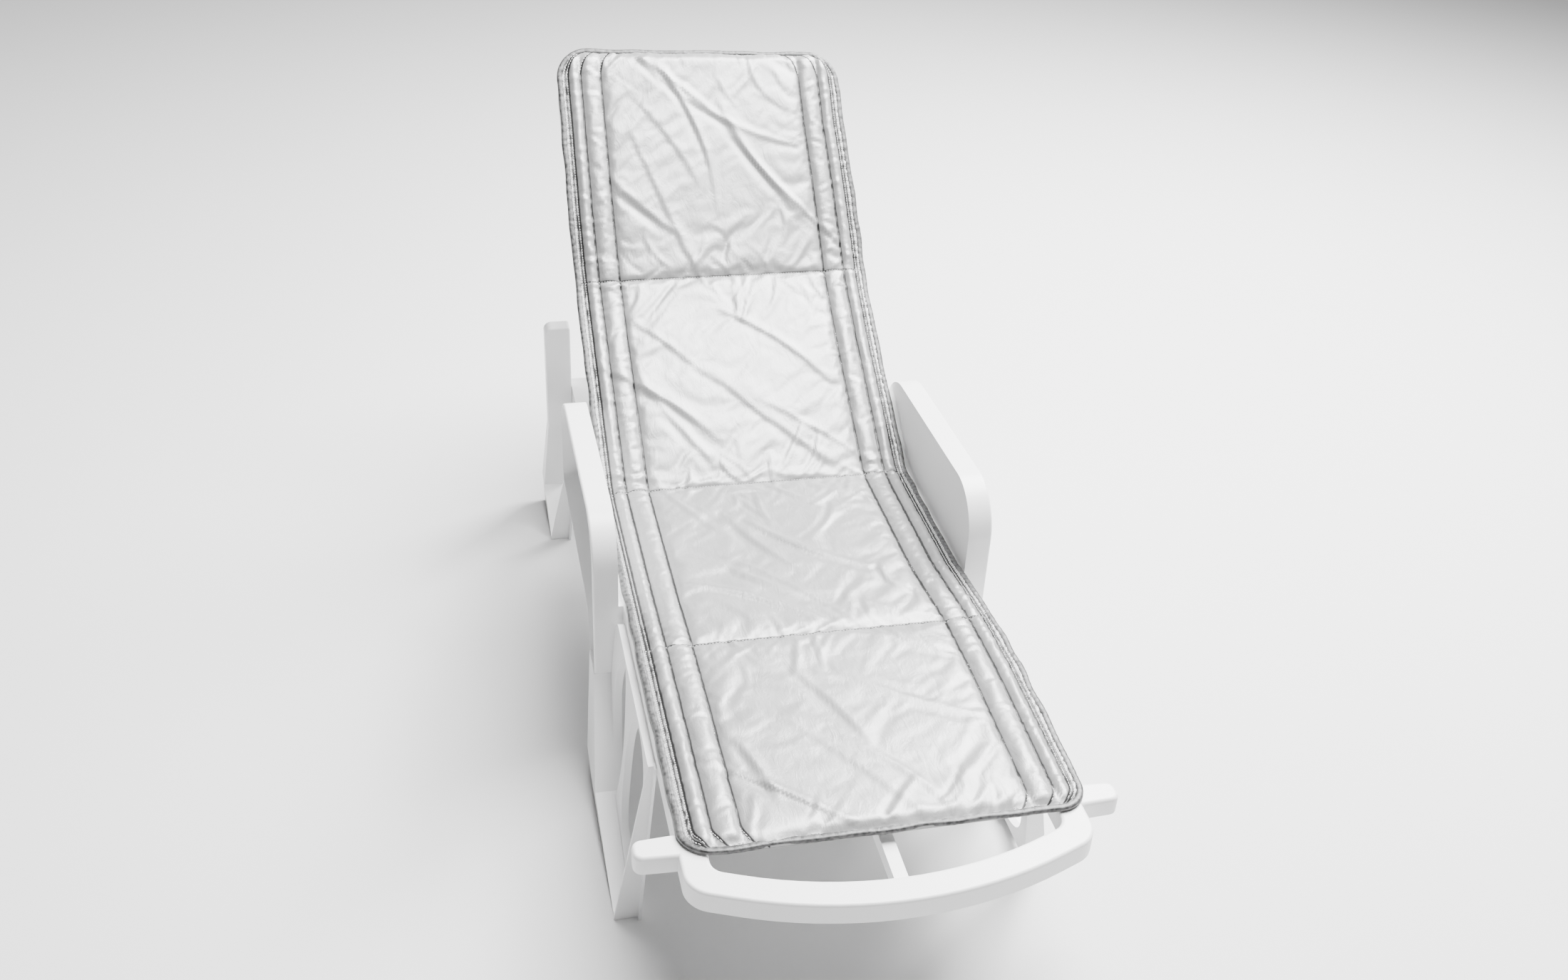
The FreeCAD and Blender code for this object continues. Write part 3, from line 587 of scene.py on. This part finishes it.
def edge_loop(step, inset):
    """Points (x, s) round the pad, inset from its edge, and the outward directions there."""
    head = HEAD_CORNER - inset
    foot = FOOT_CORNER - inset
    half = PAD_HALF - inset
    low, high = inset, PAD_LENGTH - inset
    corners = ((half - head, high - head, 0.0, head), (-half + head, high - head, 90.0, head),
               (-half + foot, low + foot, 180.0, foot), (half - foot, low + foot, 270.0, foot))
    points, outward = [], []
    previous = None
    for cx, cs, start, radius in corners + corners[:1]:
        first = (cx + radius * math.cos(math.radians(start)),
                 cs + radius * math.sin(math.radians(start)))
        if previous is not None:
            run = math.dist(previous, first)
            count = max(int(run / step), 1)
            normal = (math.cos(math.radians(start)), math.sin(math.radians(start)))
            for i in range(count):
                t = i / count
                points.append((previous[0] + (first[0] - previous[0]) * t,
                               previous[1] + (first[1] - previous[1]) * t))
                outward.append(normal)
            if start == 0.0:
                break
        turns = max(int(radius * math.pi / 2 / step), 3)
        for i in range(turns):
            a = math.radians(start + 90.0 * i / turns)
            points.append((cx + radius * math.cos(a), cs + radius * math.sin(a)))
            outward.append((math.cos(a), math.sin(a)))
        a = math.radians(start + 90.0)
        previous = (cx + radius * math.cos(a), cs + radius * math.sin(a))
    return np.array(points), np.array(outward)


def tape_section(count):
    """Rounded, slightly flat section of the folded tape."""
    angle = np.linspace(0, 2 * math.pi, count, endpoint=False)
    side, up = np.cos(angle), np.sin(angle)
    square = 1 / np.maximum(np.abs(side), np.abs(up)) ** 0.55
    return np.stack([side * square * TAPE_WIDTH / 2, up * square * TAPE_HEIGHT / 2], axis=1)


def build_binding(material):
    """The tape folded round the pad's edge, with small puckers along it."""
    points, outward = edge_loop(TAPE_STEP, TAPE_WIDTH / 2 - TAPE_OVER_EDGE)
    count = len(points)
    section = tape_section(TAPE_SIDES)
    along = np.arange(count) * TAPE_STEP
    pucker = np.zeros(count)
    for _ in range(18):
        turns = RNG.integers(180, 560)
        pucker += RNG.uniform(0.3, 1.0) * np.sin(2 * math.pi * turns * along / along[-1]
                                                  + RNG.uniform(0, 6.28))
    pucker /= np.abs(pucker).max()
    sway = np.zeros(count)
    for _ in range(8):
        turns = RNG.integers(6, 60)
        sway += np.sin(2 * math.pi * turns * along / along[-1] + RNG.uniform(0, 6.28))
    sway *= TAPE_SWAY
    middle = TAPE_HEIGHT / 2 + PAD_CLEAR
    flat = []
    for i in range(count):
        swell = 1 + TAPE_PUCKER * pucker[i]
        for side, up in section:
            reach = side * (1 + TAPE_PUCKER_SIDE * pucker[i]) + sway[i]
            high = middle + up * swell
            flat.append((points[i, 0] + outward[i, 0] * reach,
                         points[i, 1] + outward[i, 1] * reach, max(high, PAD_CLEAR)))
    flat = np.array(flat)
    ring = len(section)
    faces = []
    for i in range(count):
        j = (i + 1) % count
        for k in range(ring):
            m = (k + 1) % ring
            faces.append((i * ring + k, j * ring + k, j * ring + m, i * ring + m))
    return mesh_object("pad_binding", wrapped(flat), faces, material)


def stitch_mesh(name, starts, ends, material):
    """Short raised stitches between pairs of flat points."""
    shape = [(0.0, 0.0), (0.18, 0.85), (0.5, 1.0), (0.82, 0.85), (1.0, 0.0)]
    sides = 5
    flat, faces = [], []
    for a, b in zip(starts, ends):
        line = b - a
        length = np.linalg.norm(line[:2])
        across = np.array([-line[1], line[0], 0.0]) / max(length, 1e-9)
        base = len(flat)
        for t, swell in shape:
            centre = a + line * t + np.array([0, 0, THREAD * 0.4 * swell])
            for k in range(sides):
                angle = 2 * math.pi * k / sides
                radius = THREAD * (0.35 + 0.65 * swell)
                flat.append(centre + across * math.cos(angle) * radius
                            + np.array([0, 0, math.sin(angle) * radius]))
        for i in range(len(shape) - 1):
            for k in range(sides):
                m = (k + 1) % sides
                faces.append((base + i * sides + k, base + i * sides + m,
                              base + (i + 1) * sides + m, base + (i + 1) * sides + k))
        faces.append(tuple(base + k for k in reversed(range(sides))))
        faces.append(tuple(base + (len(shape) - 1) * sides + k for k in range(sides)))
    return mesh_object(name, wrapped(np.array(flat)), faces, material)


def path_point(where, places, path):
    """Point of a row or column of the cover at a place along it."""
    return np.array([np.interp(where, places, path[:, k]) for k in range(3)])


def build_stitching(material, grid, xs, ss):
    """Stitches beside the lengthwise seams, in the cross seams and on the tape."""
    starts, ends = [], []
    for line in STITCH_LINES:
        for side in (-1, 1):
            column = int(np.argmin(np.abs(xs - side * line)))
            path = grid[:, column, :]
            beside = (side * THREAD_ASIDE, 0.0, THREAD_LIFT)
            for s in np.arange(STITCH_END, PAD_LENGTH - STITCH_END, STITCH_PITCH):
                starts.append(path_point(s, ss, path) + beside)
                ends.append(path_point(s + STITCH_LENGTH, ss, path) + beside)
    for line in CROSS_SEAMS:
        row = int(np.argmin(np.abs(ss - line)))
        path = grid[row, :, :]
        for x in np.arange(-PAD_HALF + STITCH_END, PAD_HALF - STITCH_END, STITCH_PITCH):
            starts.append(path_point(x, xs, path))
            ends.append(path_point(x + STITCH_LENGTH, xs, path))
    points, _ = edge_loop(STITCH_PITCH, TAPE_WIDTH - TAPE_OVER_EDGE)
    top = TAPE_HEIGHT + PAD_CLEAR - THREAD_SUNK
    for a, b in zip(points, np.roll(points, -1, axis=0)):
        end = a + (b - a) * STITCH_LENGTH / STITCH_PITCH
        starts.append(np.array([a[0], a[1], top]))
        ends.append(np.array([end[0], end[1], top]))
    return stitch_mesh("pad_stitching", starts, ends, material)


def thread_material():
    """Pale polyester thread, twisted."""
    material, tree, shader = new_material("pad_thread")
    place = node(tree, "ShaderNodeTexCoord").outputs["Object"]
    twist = node(tree, "ShaderNodeTexWave", Scale=700.0, Distortion=0.5)
    twist.bands_direction = "DIAGONAL"
    tree.links.new(place, twist.inputs["Vector"])
    tree.links.new(ramp(tree, twist.outputs["Fac"], ((0.2, 0.72), (0.8, 0.86))),
                   shader.inputs["Base Color"])
    bump = node(tree, "ShaderNodeBump", Strength=0.3, Distance=0.0001)
    tree.links.new(twist.outputs["Fac"], bump.inputs["Height"])
    tree.links.new(bump.outputs["Normal"], shader.inputs["Normal"])
    shader.inputs["Roughness"].default_value = 0.6
    return material


def cloth_material(name, tone, sheen, metallic, fleck_scale, darkest_fleck):
    """Grey woven nylon: a fine plain weave, soft creases and a lustre set by metallic.

    The flecks darken the colour down to darkest_fleck; the seam attribute darkens it further, as painted shade in
    the seams' creases."""
    material, tree, shader = new_material(name)
    place = node(tree, "ShaderNodeTexCoord").outputs["Object"]
    shade = node(tree, "ShaderNodeTexNoise", Scale=4.5, Detail=4.0, Roughness=0.6)
    tree.links.new(place, shade.inputs["Vector"])
    fleck = node(tree, "ShaderNodeTexNoise", Scale=fleck_scale, Detail=2.0)
    tree.links.new(place, fleck.inputs["Vector"])
    colour = mix(tree, "MULTIPLY", 1.0, grey(tone),
                 ramp(tree, shade.outputs["Fac"], ((0.28, 0.93), (0.72, 1.0))))
    colour = mix(tree, "MULTIPLY", 1.0, colour,
                 ramp(tree, fleck.outputs["Fac"], ((0.35, darkest_fleck), (0.6, 1.0))))
    # painted shade: the seam attribute darkens the colour in the creases beside each seam
    seam = node(tree, "ShaderNodeAttribute", attribute_name="seam_shade")
    colour = mix(tree, "MULTIPLY", 1.0, colour,
                 ramp(tree, seam.outputs["Fac"], ((0.0, 1.0), (0.45, 0.07))))
    tree.links.new(colour, shader.inputs["Base Color"])
    threads = []
    for direction in ("X", "Y"):
        wave = node(tree, "ShaderNodeTexWave", Scale=320.0, Distortion=0.4)
        wave.bands_direction = direction
        wave.inputs["Detail"].default_value = 1.0
        tree.links.new(place, wave.inputs["Vector"])
        threads.append(wave.outputs["Fac"])
    weave = node(tree, "ShaderNodeMath", operation="MAXIMUM")
    tree.links.new(threads[0], weave.inputs[0])
    tree.links.new(threads[1], weave.inputs[1])
    crease = node(tree, "ShaderNodeTexNoise", Scale=46.0, Detail=6.0, Roughness=0.66)
    crease.inputs["Distortion"].default_value = 1.4
    lean = node(tree, "ShaderNodeMapping", Scale=(1.0, 0.45, 0.45),
                Rotation=(0.0, 0.0, 0.7))
    tree.links.new(place, lean.inputs["Vector"])
    tree.links.new(lean.outputs["Vector"], crease.inputs["Vector"])
    soft = node(tree, "ShaderNodeBump", Strength=0.5, Distance=0.0018)
    tree.links.new(crease.outputs["Fac"], soft.inputs["Height"])
    fine = node(tree, "ShaderNodeBump", Strength=0.22, Distance=0.00012)
    tree.links.new(weave.outputs["Value"], fine.inputs["Height"])
    tree.links.new(soft.outputs["Normal"], fine.inputs["Normal"])
    tree.links.new(fine.outputs["Normal"], shader.inputs["Normal"])
    rough = node(tree, "ShaderNodeMapRange")
    rough.inputs["To Min"].default_value = 0.33
    rough.inputs["To Max"].default_value = 0.45
    tree.links.new(shade.outputs["Fac"], rough.inputs["Value"])
    tree.links.new(rough.outputs["Result"], shader.inputs["Roughness"])
    shader.inputs["Sheen Weight"].default_value = sheen
    shader.inputs["Sheen Roughness"].default_value = 0.35
    shader.inputs["IOR"].default_value = 1.55
    shader.inputs["Metallic"].default_value = metallic
    return material


# ---------------------------------------------------------------- putting it together
RESIN = resin_material()
STEEL = steel_material()
CLOTH = cloth_material("pad_cloth", 0.345, 0.16, 0.35, 300.0, 0.95)
TAPE = cloth_material("pad_tape", 0.10, 0.0, 0.0, 150.0, 0.25)
THREAD_COLOUR = thread_material()

FINISH = {"resin": RESIN, "steel": STEEL, "pad_fabric": CLOTH}
SLOT_OF = {part["node"]: part["material_slot"] for part in frame["record"]["subparts"]}
for name, obj in frame["nodes"].items():
    for place in obj.material_slots:
        place.material = FINISH[SLOT_OF[name]]
    if not obj.material_slots:
        obj.data.materials.append(FINISH[SLOT_OF[name]])

pad, cover, pad_xs, pad_ss = build_pad(CLOTH)
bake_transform(pad)
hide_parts("seat_pad", "back_pad")

binding = build_binding(TAPE)
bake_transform(binding)

stitching = build_stitching(THREAD_COLOUR, cover, pad_xs, pad_ss)
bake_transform(stitching)


# ---------------------------------------------------------------- stage and light

def build_floor():
    """A pale matt floor, a hair below the feet."""
    material, tree, shader = new_material("floor_pale")
    shader.inputs["Base Color"].default_value = grey(0.72)
    shader.inputs["Roughness"].default_value = 0.9
    shader.inputs["Specular IOR Level"].default_value = 0.1
    size = 14.0
    corners = [(-size, -size, 0), (size, -size, 0), (size, size, 0), (-size, size, 0)]
    floor = mesh_object("floor", corners, [(0, 1, 2, 3)], material)
    floor.location.z = -0.0005


def area_light(name, place, target, size, power):
    """A soft rectangular light at a place, turned to a target."""
    data = bpy.data.lights.new(name, "AREA")
    data.shape = "RECTANGLE"
    data.size, data.size_y = size
    data.energy = power
    light = bpy.data.objects.new(name, data)
    light.location = place
    direction = Vector(target) - Vector(place)
    light.rotation_euler = direction.to_track_quat("-Z", "Y").to_euler()
    SCENE.collection.objects.link(light)


def build_world(strength):
    """Even white light from all sides."""
    world = bpy.data.worlds.new("studio")
    world.use_nodes = True
    background = world.node_tree.nodes["Background"]
    background.inputs["Color"].default_value = grey(1.0)
    background.inputs["Strength"].default_value = strength
    SCENE.world = world


build_floor()
build_world(0.22)
area_light("key", (2.4, 2.2, 3.4), (0.0, 0.1, 0.3), (1.6, 1.6), 520)
area_light("top", (1.1, 0.5, 4.2), (0.0, 0.0, 0.0), (2.0, 3.0), 820)
